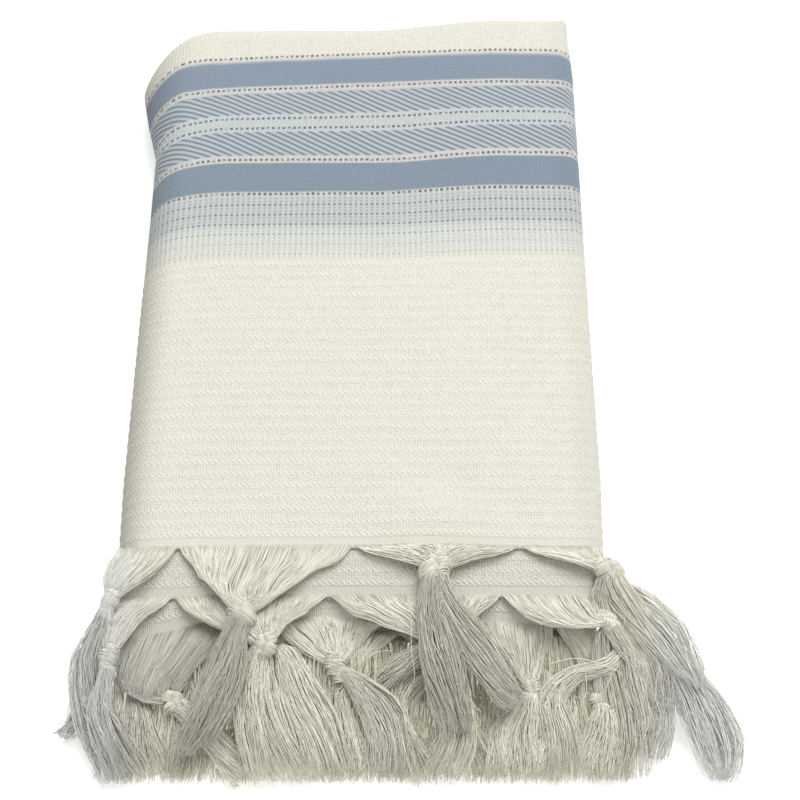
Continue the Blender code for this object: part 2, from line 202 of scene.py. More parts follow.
class Finish:
    def __init__(self, name, **uniform):
        self.material = bpy.data.materials.new(name)
        self.material.use_nodes = True
        self.tree = self.material.node_tree
        self.shader = self.tree.nodes["Principled BSDF"]
        for socket, value in uniform.items():
            self.shader.inputs[socket.replace("_", " ")].default_value = value

    def feed(self, socket, value):
        if isinstance(value, Wire):
            self.tree.links.new(value.socket, socket)
        else:
            socket.default_value = value

    def node(self, kind, settings, values=None, output=0):
        made = self.tree.nodes.new(kind)
        for name, value in settings.items():
            if name == "stops":
                ramp = made.color_ramp
                while len(ramp.elements) < len(value):
                    ramp.elements.new(0.5)
                for element, (place, colour) in zip(ramp.elements, value):
                    element.position, element.color = place, (*colour, 1)
            else:
                setattr(made, name, value)
        for name, value in (values or {}).items():
            self.feed(made.inputs[name], value)
        return Wire(self, made.outputs[output])

    def blend(self, factor, first, second, how="MIX"):
        colours = [value if isinstance(value, Wire) else (*value, 1) for value in (first, second)]
        settings = {"data_type": "RGBA", "blend_type": how}
        return self.node("ShaderNodeMix", settings, {0: factor, 6: colours[0], 7: colours[1]}, 2)

    def grain(self, vector, scale, detail=2):
        return self.node("ShaderNodeTexNoise", {}, {"Vector": vector, "Scale": scale, "Detail": detail})

    def relief(self, height, distance, strength):
        bump = self.node("ShaderNodeBump", {}, {"Height": height, "Distance": distance, "Strength": strength})
        self.feed(self.shader.inputs["Normal"], bump)


weave = {
    "ropePitch": 9.24,
    "ropeStart": 9.9,
    "ropeHalf": 1.75,
    "ropeEnd": 236,
    "ropeFrom": 5,
    # rows of a cloth's grid: along its hem, and about each rope's crest
    "hemRows": (0, 1.5, 3, 4.5, 6, 7.2),
    "ropeSteps": (-1.6, 0, 1.6, 3.6, 5.6),
    "ridge": 0.4,
    "ridgeHalf": 1.9,
    "threadPitch": 4.0,
    "stitchSlant": 1.0,
    "header": 7.5,
    "headerPitch": 1.35,
    "white": (0.83, 0.812, 0.718),
    "ombre": (0.76, 0.772, 0.722),
    "pale": (0.61, 0.64, 0.63),
    "edging": (0.66, 0.66, 0.64),
    "ribbon": (0.62, 0.65, 0.63),
    "lining": (0.61, 0.645, 0.67),
    "lowerBlue": (0.198, 0.268, 0.35),
    "upperBlue": (0.226, 0.29, 0.385),
    "bandLight": (0.472, 0.52, 0.572),
    "bandDark": (0.265, 0.31, 0.355),
    "bandPitch": 8.08,
    "bandSlant": 1.6,
    "dotRows": (297.6, 330.6, 362.9, 373.2, 405.8, 439.9),
    "bands": ((335.0, 358.8), (377.5, 400.6)),
    "twillPitch": 1.7,
    # the colour of the painted shade on the rolled sides
    "paintedSideShade": (0.44, 0.44, 0.43),
    # painted shade seen in the open work's holes
    "holeWithPaintedShade": (0.2, 0.215, 0.215),
    "speck": (0.33, 0.37, 0.375),
    "dot": (0.27, 0.31, 0.335),
    "twillDark": (0.17, 0.22, 0.3),
    "twillLight": (0.45, 0.52, 0.62),
    # the colour of the painted shade between low-lying threads
    "paintedShade": (0.45, 0.45, 0.40),
    "mottled": ((0.3, (0.965, 0.965, 0.955)), (0.7, (1, 1, 1))),
    # each stripe's first and last place as a share of half a metre behind the hem, and its colour
    "stripes": (
        (0, 0.474, "white"), (0.5, 0.522, "ombre"), (0.542, 0.5905, "pale"), (0.5914, 0.6, "edging"),
        (0.6012, 0.6530, "lowerBlue"), (0.6542, 0.6690, "edging"), (0.6700, 0.7176, "bandLight"),
        (0.7188, 0.7302, "lining"), (0.7312, 0.7424, "ribbon"), (0.7434, 0.7542, "lining"),
        (0.7552, 0.8014, "bandLight"), (0.8026, 0.8186, "edging"), (0.8200, 0.8702, "upperBlue"),
        (0.8714, "edging"), (0.884, "white"),
    ),
    # painted shade: the cloths below have a darker white, for the top one's shade, and their threads stand out more
    "paintedShadeWhite": (0.79, 0.775, 0.685),
}


def clothFinish(name, striped):
    finish = Finish(name, Roughness=0.92, Sheen_Weight=0.12, Sheen_Roughness=0.5, Specular_IOR_Level=0.2)
    place = finish.node("ShaderNodeUVMap", {"uv_map": "weave"})
    x = finish.node("ShaderNodeSeparateXYZ", {}, {0: place}, 0) * 1000
    y = finish.node("ShaderNodeSeparateXYZ", {}, {0: place}, 1) * 1000
    flat = finish.node("ShaderNodeCombineXYZ", {}, {0: x, 1: y})
    fine = finish.grain(flat, 0.75)
    coarse = finish.grain(flat, 0.3)
    slub = finish.grain(finish.node("ShaderNodeCombineXYZ", {}, {0: x * 0.02, 1: y * 0.35}), 1.0)
    cloudy = finish.grain(flat, 0.02)

    # rope rows with slanting stitches, and the small cells between them
    fromRope = y.offset(weave["ropePitch"], weave["ropeStart"]) + (fine - 0.5) * 0.9
    roped = (1 - y.above(weave["ropeEnd"] - 2, weave["ropeEnd"] + 2)) * y.above(5, 8)
    rope = fromRope.hill(weave["ropeHalf"]) * roped * (0.55 + cloudy * 0.9)
    stitch = (x + fromRope * weave["stitchSlant"] + fine * 1.6).wave(weave["threadPitch"])
    cell = (x + fine * 1.6).wave(weave["threadPitch"] / 2) * (y + coarse * 2.4).wave(weave["ropePitch"] / 5)
    header = (1 - y.above(weave["header"] - 1, weave["header"] + 1)) * y.above(-1, 0)
    warp = (x + fine * 0.5).wave(weave["headerPitch"])
    plain = (1 - rope) * (1 - header)
    height = rope * (0.25 + 0.6 * stitch) + plain * (cell * 0.42 + fine * 0.75) + header * warp * 0.3 + fine * 0.3

    if striped:
        stops = [(place, weave[shade]) for *places, shade in weave["stripes"] for place in places]
        colour = finish.node("ShaderNodeValToRGB", {"stops": stops}, {0: (y + (fine - 0.5) * 0.6) / 500})
        inBands = sum(y.within(low, high, 0.4) for low, high in weave["bands"])
        slanted = (x + y * weave["bandSlant"]).wave(weave["bandPitch"])
        lines = 1 - slanted.above(0.02, 0.6)
        colour = finish.blend(inBands * lines * (0.65 + fine * 0.8), colour, weave["bandDark"])
        # open work: a row of small holes along each stripe, sunk in the relief, with painted shade inside them
        column = (x + fine * 0.7).wave(weave["threadPitch"])
        holeRow = sum((y - row + (fine - 0.5) * 0.6).hill(1.3) for row in weave["dotRows"]).above(0.1, 0.6)
        holeWithPaintedShade = holeRow * column.above(0.36, 0.68) * (0.2 + 0.8 * coarse.above(0.36, 0.58))
        colour = finish.blend(holeWithPaintedShade, colour, weave["holeWithPaintedShade"])
        # pale cells before the stripes, with bluish threads in rows between them
        paleZone = y.within(weave["ropeEnd"], 295, 2)
        speck = finish.grain(flat, 1.3, 1)
        colour = finish.blend(paleZone * (1 - speck.above(0.35, 0.6)) * 0.38, colour, weave["speck"])
        main = fromRope.hill(1.15) * column.above(0.45, 0.85)
        between = y.offset(weave["ropePitch"] / 3, weave["ropeStart"]).hill(0.9) * column.above(0.4, 0.9)
        dots = paleZone * (main * 0.9 + between * 0.45) * (0.3 + 0.7 * y.above(250, 272))
        dots = dots * (0.3 + speck * 1.4) * (0.35 + coarse * 1.3)
        colour = finish.blend(dots * (0.5 + fine * 0.6), colour, weave["dot"])
        smooth = y.within(300.6, 327, 0.5) + y.within(409.5, 435.6, 0.5)
        twill = (x - y * 0.8 + fine * 0.5).wave(weave["twillPitch"])
        colour = finish.blend(smooth * (1 - coarse.above(0.3, 0.6)) * 0.2, colour, weave["twillDark"])
        colour = finish.blend(smooth * twill * (0.12 + fine * 1.2), colour, weave["twillLight"])
        height = height * (1 - smooth) * (1 - inBands) * (1 - paleZone * 0.6)
        height = height + smooth * (twill * 0.3 + fine * 0.1) + inBands * (1 - lines) * 0.5
        height = height - holeWithPaintedShade * 1.1 + paleZone * ((1 - column) * 0.25 + speck * 0.5 - dots * 0.5)
    else:
        # painted shade: the lower cloths' darker white
        colour = weave["paintedShadeWhite"]

    # painted shade: threads that lie low between their neighbours are darkened, more on the lower cloths
    low = (1 - height.above(0.05, 0.75)) * (1 - header * 0.6)
    paintedShade = finish.blend(low * (0.3 if striped else 0.5), colour, weave["paintedShade"], "MULTIPLY")
    tone = finish.node("ShaderNodeValToRGB", {"stops": weave["mottled"]}, {0: slub * 0.5 + cloudy * 0.5})
    # painted shade: the rolled sides are darkened, the left one more than the right
    sides = (1 - x.above(-180, -132)) * 0.8 + x.above(136, 168) * 0.25
    paintedShade = finish.blend(sides, finish.blend(1.0, paintedShade, tone, "MULTIPLY"), weave["paintedSideShade"], "MULTIPLY")
    finish.feed(finish.shader.inputs["Base Color"], paintedShade)
    finish.relief(height, 0.0011 if striped else 0.0015, 0.9)
    return finish.material


fringe = {
    "light": (0.95, 0.935, 0.835),
    "dark": (0.89, 0.872, 0.755),
    # a greyer colour painted on the outer tassels as shade, and where across it starts and is full, from the middle
    "outer": (0.92, 0.915, 0.875),
    "middle": (0.02, 0.15, 0.19),
}


def fringeFinish():
    finish = Finish("fringeCotton", Roughness=0.8, Sheen_Weight=0.15, Sheen_Roughness=0.4, Specular_IOR_Level=0.3)
    place = finish.node("ShaderNodeTexCoord", {}, {}, 3)
    x = finish.node("ShaderNodeSeparateXYZ", {}, {0: place}, 0)
    own = finish.node("ShaderNodeNewGeometry", {}, {}, 8)
    colour = finish.blend(own, fringe["dark"], fringe["light"])
    # painted shade: tassels far to either side are greyer
    middle, near, far = fringe["middle"]
    colour = finish.blend(((x - middle) ** 2).above(near**2, far**2), colour, fringe["outer"])
    # painted shade: the threads' tone attribute darkens the fans and locks that lie in shade
    tone = finish.node("ShaderNodeAttribute", {"attribute_name": "tone"})
    finish.feed(finish.shader.inputs["Base Color"], finish.blend(1.0, colour, tone, "MULTIPLY"))
    finish.relief(finish.grain(place, 2200), 0.0002, 0.3)
    return finish.material


# pieces
def settle(mesh, name, material):
    # from millimetres behind the hem to the shared frame, in metres
    bmesh.ops.translate(mesh, verts=mesh.verts, vec=(0, -stack["hemToOrigin"], 0))
    bmesh.ops.scale(mesh, verts=mesh.verts, vec=(0.001, 0.001, 0.001))
    data = bpy.data.meshes.new(name)
    mesh.to_mesh(data)
    mesh.free()
    data.shade_smooth()
    data.materials.append(material)
    piece = bpy.data.objects.new(name, data)
    bpy.context.scene.collection.objects.link(piece)
    return piece


def sheetPiece(name, columns, rows, place, material, wall):
    mesh = bmesh.new()
    bmesh.ops.create_grid(mesh, x_segments=len(columns) - 1, y_segments=len(rows) - 1, size=1)
    threads = mesh.loops.layers.uv.new("weave")
    mesh.verts.index_update()
    lines = {}
    for vert in mesh.verts:
        column = columns[round((vert.co.x + 1) / 2 * (len(columns) - 1))]
        row = rows[round((vert.co.y + 1) / 2 * (len(rows) - 1))]
        vert.co, lines[vert.index] = place(column, row)
    for face in mesh.faces:
        for loop in face.loops:
            loop[threads].uv = [length / 1000 for length in lines[loop.vert.index]]
    piece = settle(mesh, name, material)
    shell = piece.modifiers.new("wall", "SOLIDIFY")
    shell.thickness = wall / 1000
    shell.offset = -1
    shell.use_even_offset = False
    return piece


def ropeRelief(y):
    # how far the rope rows stand out
    if y < weave["ropeFrom"] or y > weave["ropeEnd"] + 1:
        return 0
    pitch = weave["ropePitch"]
    fromRope = ((y - weave["ropeStart"]) / pitch + 0.5) % 1 - 0.5
    return weave["ridge"] * max(1 - (fromRope * pitch / weave["ridgeHalf"]) ** 2, 0)


def ropeRows(first, last):
    # rows of a grid, close together over each rope
    rows, count = [], 0
    while True:
        crest = weave["ropeStart"] + weave["ropePitch"] * count
        for step in weave["ropeSteps"]:
            if crest + step > last:
                return rows
            rows.append(first + crest + step)
        count += 1


# each swell's width, depth, place in the noise and height
swells = ((55, 38, 0.3, 0.7), (21, 16, 4.1, 0.25))


def unevenness(x, y):
    # the lie of soft cloth: low swells a few centimetres across
    return sum(noise.noise(Vector((x / wide, y / deep, level))) * high for wide, deep, level, high in swells)


topCloth = {
    "wall": 1.7, "leftColumns": 18, "flatColumns": 84, "rightColumns": 12, "leftArc": 24, "backStep": 3.4,
    "backEnd": 520, "smoothTurn": 60,
}


def topSheet(material):
    sizes = topCloth
    last = stack["lastTurn"]
    columns = [(-1, last * (1 - step / sizes["leftColumns"])) for step in range(sizes["leftColumns"])]
    columns += [(0, step / sizes["flatColumns"]) for step in range(sizes["flatColumns"] + 1)]
    columns += [(1, last * (step + 1) / sizes["rightColumns"]) for step in range(sizes["rightColumns"])]
    rows = [*weave["hemRows"], *ropeRows(0, weave["ropeEnd"])]
    while rows[-1] < sizes["backEnd"]:
        rows.append(rows[-1] + sizes["backStep"])

    def place(column, y):
        side, amount = column
        _, left, right, _, leftRound, *_ = sectionAt(y)
        leftFlat, rightFlat = left + leftRound, right - stack["rightRound"]
        x = leftFlat + (rightFlat - leftFlat) * (amount if side == 0 else max(side, 0))
        turn = 0 if side == 0 else amount
        edge = x + side * math.sin(math.radians(min(turn, 90))) * (leftRound if side < 0 else stack["rightRound"])
        lie = y + drift(edge, y)
        backTurn = math.degrees(max(lie - stack["backLine"], 0) / stack["backRound"])
        raised = ropeRelief(y)
        if side == 0 and not backTurn:
            raised += unevenness(x, lie)
        elif side == 0:
            raised += unevenness(x, lie) * max(1 - backTurn / sizes["smoothTurn"], 0)
        point = wrapped(side, x, min(lie, stack["backLine"]), turn, backTurn, -raised)
        arc = sizes["leftArc"] if side < 0 else stack["rightRound"]
        return point, (x + side * math.radians(turn) * arc, y)

    return sheetPiece("top_cloth", columns, rows, place, material, sizes["wall"])


lowerCloths = {
    # askew: how far the hem lies further back along its length
    "second": {
        "piece": "second_cloth", "hem": -35, "openTo": 0, "left": -160, "right": 154, "below": 2.5, "drop": 3.6,
        "askew": ((-154, 1), (154, 2)),
    },
    "third": {
        "piece": "third_cloth", "hem": -57, "openTo": -35, "left": -155, "right": 158, "below": 5, "drop": 10,
        "askew": ((-150, 0), (-128, 3), (-98, 10), (-40, 12), (60, 10), (150, 7)),
    },
    "wall": 1.7,
    "tuckedLeft": -134,
    "tuckedRight": 145,
    "tuckedBack": 440,
    "columns": 84,
    "ropesPast": 30,
    "backStep": 18,
    "tuckOver": 10,
    "askewOver": 55,
    # where a cloth's relief fades, from the edge that covers it
    "fade": (-4, 6),
    "swell": {"from": 400, "share": 0.5},
}


def lowerTop(sheet, x, y):
    return topHeight(x, y) - sheet["below"] - sheet["drop"] * (min(y, 0) / sheet["hem"]) ** 2


def askew(sheet, x, y):
    return along(sheet["askew"], x) * (1 - stepped(y, sheet["hem"], sheet["hem"] + lowerCloths["askewOver"]))


def lowerSheet(sheet, material):
    count = lowerCloths["columns"]
    hem, openTo = sheet["hem"], sheet["openTo"]
    rows = [hem + step for step in weave["hemRows"]] + ropeRows(hem, openTo + lowerCloths["ropesPast"] - hem)
    while rows[-1] < lowerCloths["tuckedBack"]:
        rows.append(min(rows[-1] + lowerCloths["backStep"], lowerCloths["tuckedBack"]))

    def place(column, y):
        tuck = min(max(y / lowerCloths["tuckOver"] + 0.5, 0), 1)
        left = lowerCloths["tuckedLeft"] * tuck + sheet["left"] * (1 - tuck)
        right = lowerCloths["tuckedRight"] * tuck + sheet["right"] * (1 - tuck)
        x = left + (right - left) * column
        fadeFrom, fadeTo = lowerCloths["fade"]
        shown = 1 - stepped(y, openTo + fadeFrom, openTo + fadeTo)
        swell = lowerCloths["swell"]
        z = lowerTop(sheet, x, y) + shown * (ropeRelief(y - hem) + unevenness(x, y + swell["from"]) * swell["share"])
        return shifted(x, y + askew(sheet, x, y), z), (x, y - hem)

    columns = [step / count for step in range(count + 1)]
    return sheetPiece(sheet["piece"], columns, rows, place, material, lowerCloths["wall"])


core = {
    "below": 9.5,
    "inset": 3.7,
    "clear": 1,
    "front": -49,
    "corner": 12,
    "foot": 0.2,
    "groove": 8,
    "fineGroove": 2.6,
    "folds": 2,
    "foldsEnd": 12,
    "foldsFade": 30,
    "upperFront": ((0, 9), (0.26, 3), (0.5, 4), (0.76, 6), (1, 11)),
    "upperInset": 2.2,
    "splitLevel": 0.52,
    "weaveFrom": 60,
    "cuts": 47,
}


def foldGroove(part):
    # how far in the rounded folds' faces are, at a part of their height
    level = part * core["folds"] % 1 * 2 - 1
    fine = part * core["folds"] * 2 % 1 * 2 - 1
    deep = core["groove"] * (1 - math.sqrt(max(1 - level * level, 0)))
    return deep + core["fineGroove"] * (1 - math.sqrt(max(1 - fine**2, 0)))


def foldedLayers(material):
    mesh = bmesh.new()
    bmesh.ops.create_cube(mesh, size=2)
    bmesh.ops.subdivide_edges(mesh, edges=mesh.edges, cuts=core["cuts"], use_grid_fill=True)
    threads = mesh.loops.layers.uv.new("weave")
    axes = {face: max(range(3), key=lambda axis: abs(face.normal[axis])) for face in mesh.faces}
    third = lowerCloths["third"]
    splitLevel = core["splitLevel"]

    def place(cube):
        across, deep, level = [(part + 1) / 2 for part in cube]
        lower = level / splitLevel if level <= splitLevel else None
        upper = (level - splitLevel) / (1 - splitLevel)
        inset = foldGroove(min(lower, almostAll)) if lower is not None else along(core["upperFront"], upper)
        front = core["front"] + inset
        rear = stack["backLine"]
        y = front + (rear - front) * deep
        _, left, right, _, leftRound, *_ = sectionAt(y)
        middle = topHeight(0, y)
        split = middle - 2 * stack["rightRound"] - core["clear"]
        nominal = lower * split if lower is not None else split + upper * (middle - core["below"] - split)
        half = middle / 2
        turned = min(max((nominal - half) / (half - core["inset"]), -1), 1)
        out = max(math.sqrt(1 - turned * turned), core["foot"])
        toBack = (stack["backRound"] - core["inset"]) * out
        toLeft = (leftRound - core["inset"]) * out
        if lower is None:
            radius = stack["rightRound"] - core["upperInset"] - core["clear"]
            toRight = math.sqrt(radius**2 - min(abs(nominal - middle + stack["rightRound"]), radius) ** 2)
        else:
            reach = min(max((rear - core["foldsEnd"] - y) / core["foldsFade"], 0), 1)
            toRight = (stack["rightRound"] - core["clear"]) * reach - inset
        atLeft, atRight, atFront, atBack = across == 0, across == 1, deep == 0, deep == 1
        power = stack["rightCorner"] if atRight else stack["leftCorner"]
        share = 0.5 ** (1 / power) if (atLeft or atRight) and (atFront or atBack) else 1
        leftFlat, rightFlat = left + leftRound, right - stack["rightRound"]
        x = leftFlat + (rightFlat - leftFlat) * across + (atRight * toRight - atLeft * toLeft) * share
        y += atBack * toBack * share + atFront * core["corner"] * (1 - share)
        top = topHeight(x, y) - core["below"] - third["drop"] * (min(y, 0) / third["hem"]) ** 2
        z = lower * split if lower is not None else split + upper * (top - split)
        return shifted(x, y, z)

    for vert in mesh.verts:
        vert.co = place([round(part, 5) for part in vert.co])
    for face in mesh.faces:
        for loop in face.loops:
            x, y, z = loop.vert.co
            across = x + (z if axes[face] == 0 else 0)
            deep = y + core["weaveFrom"] + (z if axes[face] == 1 else 0)
            loop[threads].uv = (across / 1000, deep / 1000)
    bmesh.ops.recalc_face_normals(mesh, faces=mesh.faces)
    return settle(mesh, "inner_layers", material)


# the fringe: threads leave a hem as a fan, are wound into a knot and fall as loose locks
knotted = {
    # threads for each millimetre of hem, in the tail and in each loop of the knot
    "strands": {"top": (3.6, 600, 26), "second": (3.4, 540, 24), "third": (3.2, 400, 20), "fold": (3.0, 290, 12)},
    "radius": 0.27,
    "turnRadius": 1.2,
    "coreRadius": 0.6,
    # the fan: steps of a thread, how far it spills past its ends, where it lies behind the hem and over it,
    # and how far from the knot's middle its threads go in and how wide they spread there
    "fanSteps": 7,
    "fanSpill": 1.2,
    "rootBehind": (0.8, 2.6),
    "rootLift": 0.35,
    "goalBack": 0.25,
    "goalSpread": 0.4,
    # the tail: where it leaves the knot and how wide, its loose threads, and how they sway, curl and stray
    "headPlace": 0.45,
    "headWide": 0.72,
    "strayShare": 0.045,
    "sway": 5.0,
    "curl": 2.4,
    "jitter": 0.45,
    "straySteps": 14,
    "tailSteps": 10,
    "turnSteps": 12,
    "ragged": 0.24,
    "clump": 0.12,
    "locksAcross": 11,
    "foldHeight": 5.5,
    "mat": {
        "density": 4, "end": -148, "steps": 7,
        # tone: a yellowish painted shade, for the deep pockets under the tails where the threads lie
        "heights": ((0, 0), (0.06, 21), (0.16, 25), (0.35, 20), (0.7, 12), (1, 6)), "tone": (0.96, 0.955, 0.87),
        "sway": 13,
    },
}


def tasselRow(*row, **more):
    names = ("hem", "ends", "fan", "roll", "wave", "paintedShades", "knot", "sizes", "loops", "locks")
    return {**dict(zip(names, row)), **more}
